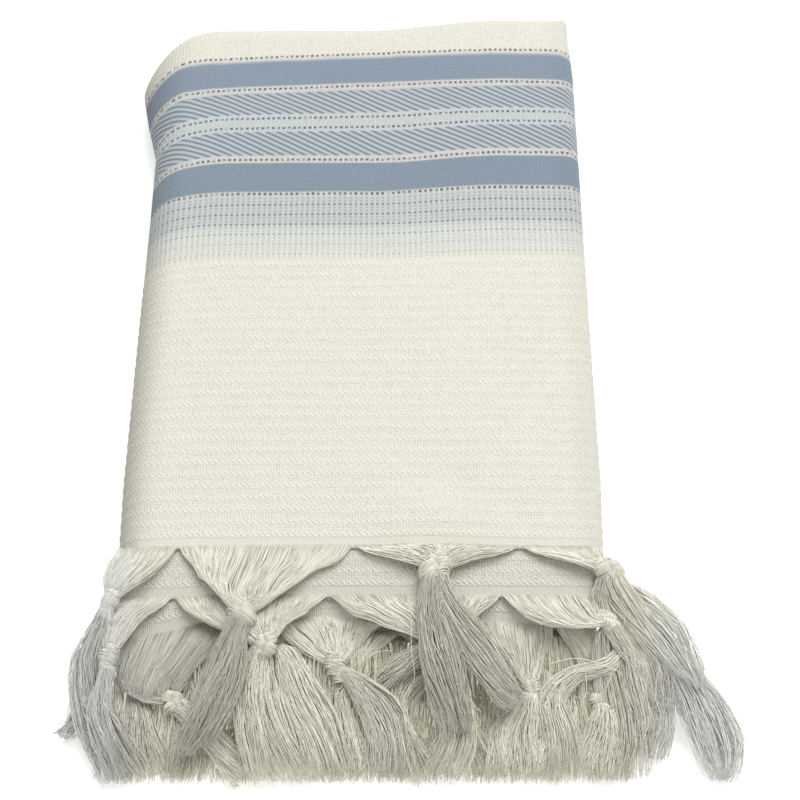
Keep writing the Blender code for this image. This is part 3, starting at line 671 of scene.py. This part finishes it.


# each tassel's hem, with start and end along it; the places that its fan passes through, from start to end, how
# thick it rolls there and how far its threads wave; the painted shade of the fan and of each lock, a factor on
# their colour; the knot, its half width, thickness and length, and its loops as (place along the knot, reach, half
# width, lean); each lock as its share of the threads, its half thickness and its places with its half width there;
# and where one needs it, full: how many times the usual threads its fan has, run: the way that its knot points,
# mat: how far the loose threads under it spread
tassels = {
    "a1": tasselRow("top", (-162, -124), ((-170, -21, 49), (-157, -25, 51), (-140, -23, 52)), 2.4, 2,
        (0.95, 0.82, 0.84), (-165, -40, 46), (6, 6, 9), ((-0.5, 0.95, 0.42, 4), (0.05, 1, 0.4, -4),
        (0.6, 0.85, 0.4, 3)), ((0.72, 7, (-171, -58, 36, 9), (-178, -76, 28, 12.5), (-174, -104, 19, 12.5),
        (-163, -125, 12, 14), (-152, -146, 8, 16)), (0.28, 5, (-175, -57, 33, 5), (-181, -89, 21, 8),
        (-187, -108, 12, 6), (-196, -118, 7, 4)))),
    "a2": tasselRow("top", (-121, -8), ((-110, -17, 49), (-98, -28, 50), (-87, -34, 51), (-68, -35, 51), (-50, -31, 50),
        (-34, -19, 50)), 1.4, 5, (0.95, 0.68, 0.7), (-78, -48, 48), (11, 7, 7.5), ((-0.4, 0.95, 0.5, 30),
        (0.35, 1, 0.5, 14)), ((0.6, 6, (-83, -63, 46, 8), (-89, -82, 43, 11), (-97, -102, 40, 10), (-103, -118, 36, 8),
        (-113, -138, 32, 7)), (0.4, 5, (-80, -65, 45, 6), (-83, -87, 43, 8), (-91, -110, 38, 7), (-98, -132, 33, 6)))),
    "a3": tasselRow("top", (-5, 103), ((22, -9, 52), (46, -4, 55), (55, -6, 55), (78, -9, 52)), 3.6, 2, (1, 0.74, 0.77),
        (48, -18, 52), (12, 8, 10), ((-0.5, 0.9, 0.42, -38), (0, 1, 0.42, -32), (0.5, 0.92, 0.42, -26)), ((0.6, 7,
        (45, -48, 50, 10), (50, -74, 46, 14), (58, -99, 39, 12), (62, -127, 33, 9)), (0.4, 6, (56, -43, 50, 8),
        (72, -70, 44, 14), (89, -94, 36, 12), (98, -107, 33, 8)))),
    "a4": tasselRow("top", (106, 158), ((134, -10, 51), (148, -13, 52), (159, -10, 52)), 2.8, 2, (1, 0.92, 0.97, 0.88),
        (162, -18, 49), (9, 7.5, 9.5), ((-0.5, 0.9, 0.48, 22), (0.02, 1, 0.48, 26), (0.55, 0.9, 0.46, 20)), ((0.5, 8,
        (178, -45, 42, 9), (196, -68, 34, 11), (212, -90, 25, 14), (221, -103, 18, 17.5), (229, -121, 12, 17),
        (232, -139, 9, 12), (230, -148, 7, 7)), (0.42, 8, (169, -34, 45, 11), (184, -47, 43, 15), (201, -64, 40, 15),
        (212, -82, 34, 11), (216, -93, 29, 6)), (0.4, 7, (163, -32, 43, 13), (173, -54, 39, 15), (191, -76, 34, 16),
        (198, -95, 26, 16), (201, -106, 18, 8)))),
    "b1": tasselRow("second", (-159, -126), ((-169, -46, 41), (-158, -52, 42), (-142, -49, 42)), 2, 2, (0.92, 0.82),
        (-164, -77, 38), (6.5, 6.5, 9), ((-0.42, 1.05, 0.6, 2), (0.35, 0.78, 0.3, 8), (0.78, 0.6, 0.24, -8)), ((1, 7,
        (-165, -86, 34, 5), (-167, -96, 30, 6), (-168, -110, 25, 9), (-160, -128, 17, 12), (-151, -148, 12, 14)),),
        full=1.5),
    "b2": tasselRow("second", (-123, -24), ((-104, -50, 41), (-83, -52, 43), (-61, -51, 43), (-41, -46, 42)), 1.6, 4,
        (0.94, 1, 1), (-63, -67, 39), (8, 6.5, 7.5), ((-0.4, 0.95, 0.5, -30), (0.3, 1, 0.55, 16)), ((0.6, 7,
        (-69, -76, 33, 8), (-73, -99, 28, 12), (-68, -121, 22, 13), (-57, -149, 15, 15)), (0.4, 6, (-65, -76, 31, 7),
        (-62, -100, 26, 10), (-54, -125, 19, 12), (-40, -148, 13, 13)))),
    "b3": tasselRow("second", (-21, 90), ((10, -51, 42), (32, -50, 44), (54, -49, 44), (78, -46, 42)), 3, 4,
        (0.96, 0.96, 0.94), (48, -64, 37), (9, 7, 8), ((-0.4, 0.9, 0.5, 20), (0.3, 1, 0.6, 10)), ((0.58, 7,
        (49, -76, 34, 10), (57, -103, 28, 12), (61, -125, 22, 12), (54, -149, 15, 15)), (0.42, 5, (36, -71, 31, 7),
        (24, -77, 24, 8), (12, -83, 15, 9), (0, -92, 8, 7)))),
    "b4": tasselRow("second", (93, 152), ((119, -52, 42), (132, -55, 45), (147, -54, 44), (155, -46, 43)), 3.2, 3,
        (1, 0.87, 0.9, 1), (161, -51, 40), (6.5, 6, 9.5), ((-0.55, 0.9, 0.38, -30), (0, 1, 0.38, -24),
        (0.55, 0.85, 0.36, -30)), ((0.42, 7, (174, -69, 33, 8), (183, -92, 26, 14), (189, -113, 18, 14),
        (185, -136, 11, 12)), (0.34, 6, (161, -62, 32, 11), (166, -90, 24, 16), (172, -123, 15, 15),
        (172, -147, 9, 14)), (0.42, 6, (169, -67, 31, 5), (158, -80, 29, 5), (138, -83, 26, 6), (122, -98, 21, 11),
        (128, -121, 14, 15), (128, -147, 9, 16)))),
    "c1": tasselRow("third", (-154, -84), ((-158, -88, 24), (-146, -95, 25), (-131, -89, 25), (-108, -77, 25)), 1.6, 3,
        (0.73, 0.97), (-122, -99, 20), (8.5, 6.5, 6.5), ((-0.35, 1, 0.6, 26), (0.4, 0.9, 0.5, -24)), ((1, 6,
        (-114, -105, 17, 6), (-102, -117, 13, 8), (-87, -132, 10, 10), (-73, -146, 8, 12)),), run=(0.25, -1, -0.1)),
    "c2": tasselRow("third", (-62, 16), ((-38, -65, 26), (-25, -59, 28), (-13, -59, 27), (2, -57, 24)), 1.6, 4,
        (1, 0.86, 0.84), (-17, -77, 24), (6.5, 6, 10.5), ((-0.55, 0.85, 0.5, 30), (0, 1, 0.5, 36),
        (0.5, 0.92, 0.46, 30)), ((0.62, 6, (-3, -89, 20, 7), (8, -106, 17, 10), (16, -124, 12, 12), (19, -146, 8, 13)),
        (0.38, 5, (2, -87, 21, 5), (18, -101, 18, 7), (26, -120, 12, 8), (30, -146, 8, 10)))),
    "c3": tasselRow("third", (66, 124), ((88, -64, 22), (98, -74, 24), (106, -77, 24), (122, -63, 22)), 1.8, 3,
        (0.95, 1), (110, -91, 21), (7, 6, 7), ((-0.3, 1, 0.6, -16), (0.5, 0.8, 0.4, 12)), ((1, 8, (106, -105, 17, 10),
        (99, -119, 14, 16), (97, -133, 11, 19), (96, -146, 8, 19)),)),
    "c4": tasselRow("third", (127, 149), ((137, -64, 22), (149, -74, 23), (155, -76, 22)), 1.6, 2, (0.95, 0.98),
        (153, -98, 19), (6, 5.5, 5.5), ((-0.3, 1, 0.6, 14), (0.5, 0.8, 0.4, -12)), ((1, 7, (156, -111, 16, 10),
        (154, -128, 11, 14), (151, -146, 8, 16)),), full=1.3),
    "d1": tasselRow("fold", (-148, -118), ((-152, -66, 22), (-126, -64, 22)), 1, 1, (1, 0.92), (-147, -84, 10),
        (7, 6, 7), ((-0.3, 1, 0.6, 10), (0.5, 0.8, 0.4, -12)), ((1, 7, (-144, -105, 12, 9), (-143, -124, 9, 13),
        (-138, -146, 7, 17)),), mat=(-172, -112)),
    "d2": tasselRow("fold", (-115, -78), ((-112, -57, 23), (-80, -56, 24)), 1, 1, (1, 0.92), (-100, -80, 14), (7, 6, 7),
        ((-0.3, 1, 0.6, -14), (0.5, 0.8, 0.4, 12)), ((1, 6, (-106, -93, 11, 9), (-111, -121, 8, 14),
        (-113, -145, 6, 17)),), mat=(-118, -72)),
    "d3": tasselRow("fold", (-75, -38), ((-72, -54, 24), (-58, -53, 25), (-42, -54, 24)), 1, 1, (1, 1), (-55, -64, 21),
        (7, 6, 7), ((-0.3, 1, 0.6, 18), (0.5, 0.8, 0.4, -12)), ((1.5, 9, (-49, -73, 26, 10), (-42, -92, 22, 14),
        (-32, -119, 16, 18), (-23, -147, 11, 22)),), mat=(-78, -34)),
    "d4": tasselRow("fold", (-35, 20), ((-31, -54, 24), (-6, -54, 24), (22, -52, 24)), 1.6, 2, (1, 1), (-10, -82, 15),
        (7, 6, 7), ((-0.3, 1, 0.6, -20), (0.5, 0.8, 0.4, 12)), ((1, 7, (-16, -96, 11, 10), (-10, -121, 8, 14),
        (-6, -146, 7, 17)),), mat=(-38, 24)),
    "d5": tasselRow("fold", (23, 78), ((24, -52, 24), (50, -54, 24), (76, -53, 23)), 1.6, 2, (1, 1, 0.95),
        (56, -76, 17), (7, 6, 7), ((-0.3, 1, 0.6, 12), (0.5, 0.8, 0.4, -12)), ((0.6, 7, (40, -81, 16, 7),
        (27, -97, 13, 8), (30, -119, 10, 10), (46, -146, 8, 14)), (0.4, 6, (65, -104, 10, 8), (72, -126, 8, 11),
        (75, -145, 6, 14))), mat=(18, 82)),
    "d6": tasselRow("fold", (81, 146), ((96, -53, 23), (120, -52, 23), (143, -54, 22)), 1, 1, (1, 0.98), (131, -80, 14),
        (7, 6, 7), ((-0.3, 1, 0.6, -10), (0.5, 0.8, 0.4, 12)), ((1, 6, (129, -105, 12, 12), (120, -126, 9, 15),
        (114, -146, 7, 17)),), mat=(76, 174)),
}

# loose threads that curl away from their tails
strays = {
    "a1": (((-165, -106, 34), (-156, -115, 26), (-154, -122, 20)), ((-150, -113, 24), (-152, -127, 16),
        (-150, -134, 12))),
    "a3": (((32, -44, 53), (32, -74, 46), (34, -86, 38), (33, -90, 30)), ((69, -100, 42), (71, -108, 38),
        (76, -112, 35))),
    "a4": (((170, -33, 48), (171, -50, 46), (169, -59, 42)), ((180, -62, 43), (190, -73, 40), (200, -66, 42)),
        ((190, -88, 40), (189, -96, 36), (188, -104, 31))),
    "b4": (((120, -79, 34), (136, -76, 37), (151, -79, 38), (168, -86, 36)), ((144, -74, 33), (145, -95, 30),
        (143, -102, 26), (147, -116, 22)), ((163, -83, 35), (156, -96, 31), (146, -102, 27))),
    "c2": (((2, -72, 28), (10, -67, 28), (20, -65, 26)),),
}


def hemPoint(hem, x):
    if hem == "top":
        return shifted(x, 0, topHeight(x, 0))
    if hem == "fold":
        return shifted(x, core["front"], knotted["foldHeight"])
    sheet = lowerCloths[hem]
    return shifted(x, sheet["hem"] + askew(sheet, x, sheet["hem"]), lowerTop(sheet, x, sheet["hem"]))


def axesFor(forward):
    sideways = Vector((0, 0, 1)).cross(forward).normalized()
    return sideways, forward.cross(sideways).normalized()


def bend(start, leave, end, arrive, part):
    # the smooth line from start to end that leaves and arrives as the two pushes say
    rest = 1 - part
    leaving = start * (rest * rest * (1 + 2 * part)) + leave * (rest * rest * part)
    return leaving + end * (part * part * (3 - 2 * part)) - arrive * (part * part * rest)


def through(points, part):
    # a place on the smooth line through the points
    place = min(part, almostAll) * (len(points) - 1)
    first = int(place)
    b, c = points[first], points[first + 1]
    a = points[first - 1] if first else b * 2 - c
    d = points[first + 2] if first + 2 < len(points) else c * 2 - b
    return bend(b, (c - a) / 2, c, (d - b) / 2, place - first)


def swirl(seed, *place):
    # a smooth push that threads lying side by side share
    return noise.noise_vector(Vector(place) + Vector((seed * 7.3, seed * 3.1, seed * 5.7)))


def grey(tone):
    return tone, tone, tone * 0.985


def inDisc():
    angle, reach = chance.uniform(0, 2 * math.pi), math.sqrt(chance.random())
    return math.cos(angle) * reach, math.sin(angle) * reach


def fanThreads(tassel, seed):
    # from on top of the hem, straight out at first, then over the fan's own line and into the knot
    start, end = tassel["ends"]
    knot = Vector(tassel["knot"])
    middles = [Vector(place) for place in tassel["fan"]]
    lifted = 0 if tassel["hem"] == "fold" else knotted["rootLift"]
    count = round((end - start) * knotted["strands"][tassel["hem"]][0] * tassel.get("full", 1))
    steps, spill, spread = knotted["fanSteps"], knotted["fanSpill"], knotted["goalSpread"]
    wide, thick, long = tassel["sizes"]
    threads = []
    for index in range(count):
        part = (index + chance.uniform(0, 1)) / count
        a, b = inDisc()
        root = hemPoint(tassel["hem"], start - spill + (end - start + 2 * spill) * part)
        root += Vector((0, chance.uniform(*knotted["rootBehind"]), lifted + chance.uniform(-0.2, 0.25)))
        roll = tassel["roll"] * (0.45 + 0.55 * abs(2 * part - 1))
        middle = through(middles, part) + Vector((chance.gauss(0, 0.5), a * roll, b * roll * 0.8))
        inward = (knot - middle).normalized()
        sideways, up = axesFor(inward)
        c, d = inDisc()
        goal = knot - inward * long * knotted["goalBack"] + (sideways * c * wide * spread + up * d * thick * spread)
        away = middle - root
        out = away * 0.75 + Vector((0, -1, 0.12)) * away.length * 0.45
        over = (goal - root) * 0.5
        thread = [root]
        half = steps / 2
        for step in range(1, steps + 1):
            if step < half:
                point = bend(root, out, middle, over, step / half)
            else:
                point = bend(middle, over, goal, inward * (goal - middle).length, (step - half) / half)
            share = math.sin(math.pi * step / steps) if step < steps else 0
            push = swirl(seed, point.x / 13, point.y / 15, 0) * (tassel["wave"] * share)
            thread.append(point + Vector((push.x, push.y * 0.5, abs(push.z) * 0.35)))
        # the fan's painted shade
        threads.append((thread, 1.0, 1.0, grey(tassel["paintedShades"][0])))
    return threads


def knotThreads(centre, run, sizes, loops, count):
    # each loop is a bundle of threads wound once round, fuller in its middle
    sideways, up = axesFor(run)
    threads = []
    for place, reach, half, lean in loops:
        tilt = math.radians(lean)
        across, down = math.cos(tilt), math.sin(tilt)
        for index in range(count):
            around = math.pi * ((index + 0.5) / count - 0.5)
            level = half * math.sin(around)
            wide = reach * (0.8 + 0.2 * math.cos(around)) * (1 + chance.uniform(-0.03, 0.02))
            wide *= math.sqrt(1 - 0.5 * min((place + level) ** 2, 1))
            slip = chance.gauss(0, 0.05)
            thread = []
            for step in range(knotted["turnSteps"] + 1):
                angle = 2 * math.pi * (step / knotted["turnSteps"] + 0.25)
                x, y, z = wide * math.cos(angle), level + slip * math.cos(angle), wide * math.sin(angle)
                x, y = x * sizes[0], y * sizes[2]
                point = centre + run * place * sizes[2] + sideways * (x * across - y * down)
                thread.append(point + run * (x * down + y * across) + up * z * sizes[1])
            threads.append((thread, knotted["turnRadius"], 1.0, grey(1)))
    return threads


def tailThreads(head, lock, count, tone, seed):
    _, thick, *places = lock
    line = [head] + [Vector(place) for place in places]
    across = knotted["locksAcross"]
    threads = []
    for index in range(count):
        a, b = inDisc()
        own = (round(a * across / 2) / (across / 2), b * 0.5)  # the middle of the thread's own small lock
        stray = chance.random() < knotted["strayShare"]
        length = 1 - knotted["ragged"] * chance.random() ** 1.5
        twist = 0.5 * (1 if seed % 2 else -1) + chance.gauss(0, 0.12)
        loose, aside = (chance.uniform(2, 6), chance.choice((-1, 1))) if stray else (0, 1)
        thread = []
        for step in range(knotted["tailSteps"] + 1):
            here = step / knotted["tailSteps"] * length
            centre = through(line, here)
            way = (through(line, min(here + 0.02, 1)) - through(line, here - 0.02 if here else 0)).xyz.normalized()
            sideways, up = axesFor(way)
            wide, centre = centre.w, centre.xyz
            deep = thick * min(1.1, 10.5 / wide)
            clump = knotted["clump"] * stepped(here, 0.1, 1)
            turn = twist * here
            c, d = a + (own[0] - a) * clump, b + (own[1] - b) * clump
            c, d = c * math.cos(turn) - d * math.sin(turn), c * math.sin(turn) + d * math.cos(turn)
            push = swirl(seed, a * 0.8, b * 0.8, here * 2.4) * (knotted["sway"] * stepped(here, 0, 0.8))
            curl = swirl(seed + 5, own[0] * 4, own[1] * 3, here * 4.5) * (knotted["curl"] * here)
            side = c * wide + push.x + curl.x + loose * aside * here**2 + chance.gauss(0, knotted["jitter"])
            point = centre + sideways * side
            point += up * (d * deep + push.z * 0.4 + curl.z * 0.5 + loose * 0.4 * here) + way * push.y * 0.5
            point.z = max(point.z, 0.5 + 0.6 * abs(d))
            thread.append(point)
        # the lock's painted shade
        threads.append((thread, 1.0, 0.6, grey(tone)))
    return threads


def matThreads(hem, spread, seed):
    # threads that fall loosely from the fold and lie on the ground under the tails
    mat = knotted["mat"]
    threads = []
    for index in range(round((spread[1] - spread[0]) * mat["density"])):
        part, height = chance.random(), math.sqrt(chance.random())
        root = hemPoint("fold", hem[0] + (hem[1] - hem[0]) * part) + Vector((0, 1.5, chance.uniform(-3, 1)))
        aside = spread[0] + (spread[1] - spread[0]) * part - root.x
        lean = chance.gauss(0, 6) * 4 * part * (1 - part)
        reach = mat["end"] * chance.uniform(0.95, 1) - root.y
        thread = []
        for step in range(mat["steps"] + 1):
            here = (step / mat["steps"]) ** 1.5
            push = swirl(seed, root.x / 11, height * 2, here * 4) * (mat["sway"] * here)
            z = root.z * max(1 - here / 0.06, 0) + along(mat["heights"], here) * height
            x = root.x + aside * (1 - max(1 - here / 0.3, 0) ** 3) + push.x + lean * here + chance.gauss(0, 0.6)
            thread.append(Vector((x, root.y + reach * here, max(z + push.z * 0.15, 0.6))))
        # with the yellowish painted shade of the pockets
        threads.append((thread, 1.15, 0.8, mat["tone"]))
    return threads


def threadMesh(name, threads, knot, material):
    # every thread is a three-sided tube along its own line
    profile = bpy.data.curves.new(name + "Profile", "CURVE")
    edge = profile.splines.new("POLY")
    edge.points.add(2)
    for corner, point in enumerate(edge.points):
        angle = 2 * math.pi * corner / 3
        point.co = (math.cos(angle) * knotted["radius"], math.sin(angle) * knotted["radius"], 0, 1)
    edge.use_cyclic_u = True
    profileObject = bpy.data.objects.new(name + "Profile", profile)
    bpy.context.scene.collection.objects.link(profileObject)
    line = bpy.data.curves.new(name, "CURVE")
    line.dimensions = "3D"
    line.bevel_mode = "OBJECT"
    line.bevel_object = profileObject
    for thread, size, tip, _ in threads:
        strand = line.splines.new("POLY")
        last = len(thread) - 1
        strand.points.add(last)
        strand.points.foreach_set("co", [length for point in thread for length in (*point, 1)])
        radii = [size * (1 - (1 - tip) * max(step - last + 2, 0) / 2) for step in range(last + 1)]
        strand.points.foreach_set("radius", radii)
    lineObject = bpy.data.objects.new(name, line)
    bpy.context.scene.collection.objects.link(lineObject)
    bpy.context.view_layer.update()
    data = bpy.data.meshes.new_from_object(lineObject.evaluated_get(bpy.context.evaluated_depsgraph_get()))
    mesh = bmesh.new()
    mesh.from_mesh(data)
    bmesh.ops.holes_fill(mesh, edges=mesh.edges, sides=3)
    # the tone attribute carries painted shade: the fans' and locks' darkening and the loose threads' pocket shade
    paintedShadeLayer = mesh.verts.layers.float_color.new("tone")
    paintedShades = [(*tone, 1) for thread, _, _, tone in threads for corner in range(3 * len(thread))]
    for vert, tone in zip(mesh.verts, paintedShades):
        vert[paintedShadeLayer] = tone
    centre, run, sizes = knot
    sideways, up = axesFor(run)
    ball = bmesh.ops.create_uvsphere(mesh, u_segments=16, v_segments=10, radius=knotted["coreRadius"])
    for vert in ball["verts"]:
        x, y, z = vert.co
        vert.co = centre + sideways * x * sizes[0] + up * y * sizes[1] + run * z * sizes[2]
        vert[paintedShadeLayer] = (1, 1, 1, 1)
    bmesh.ops.recalc_face_normals(mesh, faces=mesh.faces)
    for old in (lineObject, profileObject):
        bpy.data.objects.remove(old)
    bpy.data.meshes.remove(data)
    return settle(mesh, name, material)


def tasselPiece(name, number, material):
    tassel = tassels[name]
    tailCount, turnCount = knotted["strands"][tassel["hem"]][1:]
    knot, sizes = Vector(tassel["knot"]), tassel["sizes"]
    middle = (hemPoint(tassel["hem"], tassel["ends"][0]) + hemPoint(tassel["hem"], tassel["ends"][1])) / 2
    into = (knot - middle).normalized()
    outOf = (Vector(tassel["locks"][0][2][:3]) - knot).normalized()
    run = Vector(tassel.get("run", into + outOf)).normalized()
    head = knot + outOf * sizes[2] * knotted["headPlace"]
    threads = fanThreads(tassel, number)
    threads += knotThreads(knot, run, sizes, tassel["loops"], turnCount)
    start = Vector((*head, sizes[0] * knotted["headWide"]))
    for part, lock in enumerate(tassel["locks"]):
        # each lock's painted shade
        tone = tassel["paintedShades"][part + 1]
        threads += tailThreads(start, lock, round(tailCount * lock[0]), tone, number + part * 20)
    for places in strays.get(name, ()):
        line = [Vector(place) for place in places]
        steps = knotted["straySteps"]
        threads.append(([through(line, step / steps) for step in range(steps + 1)], 1.1, 0.8, grey(1)))
    if tassel["hem"] == "fold":
        threads += matThreads(tassel["ends"], tassel["mat"], number)
    return threadMesh("fringe_" + name, threads, (knot, run, sizes), material)


# floor, light and camera
studio = {
    "floor": (0.97, 0.97, 0.97),
    "floorGlow": 0.38,
    "floorHalf": 10,
    "world": 0.55,
    "key": {"place": (1.1, 1.6, 4.4), "aim": (0, 0, 0), "size": 3.4, "power": 172},
    "fill": {"place": (0.2, -1.0, 1.9), "aim": (0, -0.1, 0), "size": 1.6, "power": 1.5},
    "camera": (0.0246, -0.821, 1.168),
    "tilt": 33,
    "lens": 86.22,
    "sensor": 36,
}


def lamp(name):
    sizes = studio[name]
    data = bpy.data.lights.new(name, "AREA")
    data.size, data.energy = sizes["size"], sizes["power"]
    light = bpy.data.objects.new(name, data)
    light.location = sizes["place"]
    light.rotation_euler = (Vector(sizes["aim"]) - Vector(sizes["place"])).to_track_quat("-Z", "Y").to_euler()
    bpy.context.scene.collection.objects.link(light)


def makeStudio():
    mesh = bmesh.new()
    bmesh.ops.create_grid(mesh, x_segments=1, y_segments=1, size=studio["floorHalf"])
    data = bpy.data.meshes.new("floor")
    mesh.to_mesh(data)
    mesh.free()
    glow = {"Emission_Color": (1, 1, 1, 1), "Emission_Strength": studio["floorGlow"]}
    finish = Finish("paleFloor", Roughness=0.7, Specular_IOR_Level=0.1, **glow)
    place = finish.node("ShaderNodeTexCoord", {}, {}, 3)
    tone = finish.blend(finish.grain(place, 3), studio["floor"], [part * 0.99 for part in studio["floor"]])
    finish.feed(finish.shader.inputs["Base Color"], tone)
    data.materials.append(finish.material)
    floor = bpy.data.objects.new("floor", data)
    bpy.context.scene.collection.objects.link(floor)
    world = bpy.data.worlds.new("room")
    world.use_nodes = True
    world.node_tree.nodes["Background"].inputs["Color"].default_value = (1, 1, 1, 1)
    world.node_tree.nodes["Background"].inputs["Strength"].default_value = studio["world"]
    scene = bpy.context.scene
    scene.world = world
    scene.view_settings.view_transform = "Standard"
    lamp("key")
    lamp("fill")
    lens = bpy.data.cameras.new("camera")
    lens.lens, lens.sensor_width = studio["lens"], studio["sensor"]
    camera = bpy.data.objects.new("camera", lens)
    camera.location = studio["camera"]
    camera.rotation_euler = (math.radians(studio["tilt"]), 0, 0)
    scene.collection.objects.link(camera)
    scene.camera = camera


makeStudio()
print("floor, light and camera made")

striped = clothFinish("stripedCotton", True)
# the ribbed finish carries the painted shade of the cloths below the top one
ribbed = clothFinish("ribbedCotton", False)
cotton = fringeFinish()

topPiece = topSheet(striped)
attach(topPiece, "root")
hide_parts("top_sheet")
for key in ("second", "third"):
    piece = lowerSheet(lowerCloths[key], ribbed)
    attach(piece, "root")
    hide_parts(key + "_sheet")
print("cloths laid")

innerPiece = foldedLayers(ribbed)
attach(innerPiece, "root")
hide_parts("folded_layers")
print("inner layers folded")

hung = {"top": [], "second": [], "third": [], "fold": []}
for number, name in enumerate(tassels):
    piece = tasselPiece(name, number, cotton)
    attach(piece, "root")
    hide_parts("tassel_" + name)
    hung[tassels[name]["hem"]].append(piece)
print("fringe knotted")
